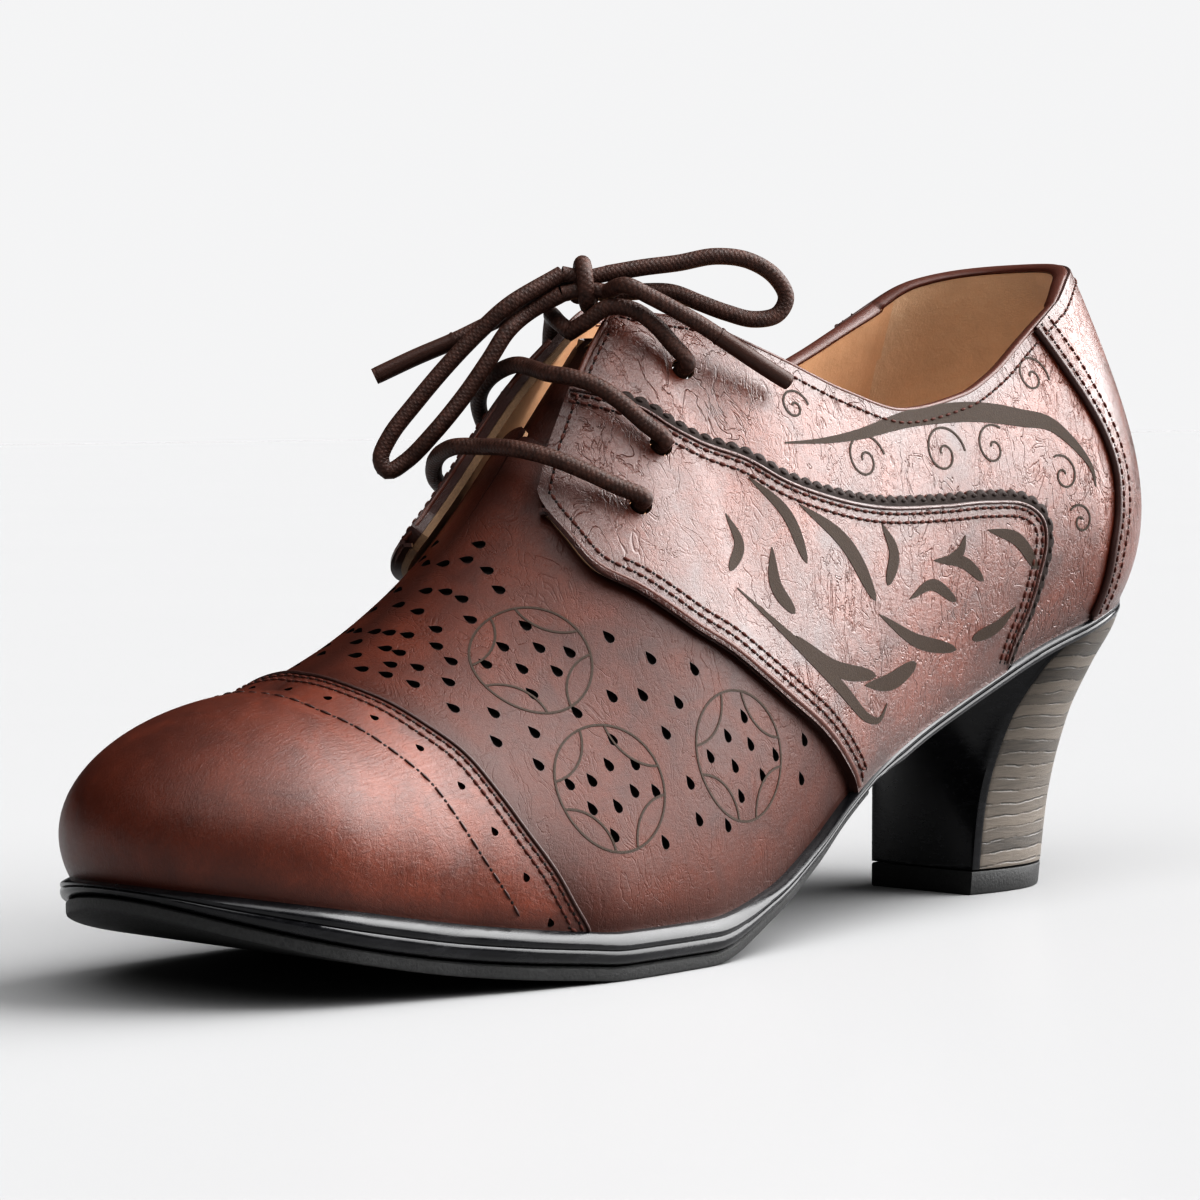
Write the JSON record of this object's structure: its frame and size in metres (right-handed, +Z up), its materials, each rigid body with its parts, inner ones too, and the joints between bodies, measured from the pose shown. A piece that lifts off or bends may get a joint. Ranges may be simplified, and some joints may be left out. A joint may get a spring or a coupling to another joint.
{
  "type": "heeled lace-up shoe",
  "caption": "Lace-up shoe for the left foot with a stacked block heel: hollow leather upper with toe cap, punched vamp, flaps over a tongue and open collar.",
  "frame": {"origin": "on the floor under the middle of the shoe's bounding box, the free cord left out", "axes": "+Z up, toe toward -Y, outer side of the foot toward +X; the shoe stands on its forefoot and heel at z = 0"},
  "size_m": [0.0819, 0.2468, 0.123],
  "materials": {
    "upper_leather": "satin, burnished",
    "lining_leather": "matte",
    "sole_gloss": "gloss",
    "tread_rubber": "satin",
    "stacked_heel": "satin",
    "lace_cord": "waxed",
    "seam_thread": "matte"
  },
  "bodies": {
    "root": {"upper": "upper_leather", "tongue": "upper_leather", "insole": "lining_leather", "sole_rand": "sole_gloss", "outsole": "tread_rubber", "heel_block": "sole_gloss", "heel_wrap": "stacked_heel", "top_lift": "tread_rubber", "lace_bar_lower": "lace_cord", "lace_bar_middle": "lace_cord", "lace_tie": "lace_cord", "lace_knot": "lace_cord", "lace_loop_right": "lace_cord", "lace_loop_left": "lace_cord", "lace_end_right": "lace_cord", "lace_end_left": "lace_cord"}
  },
  "joints": []
}
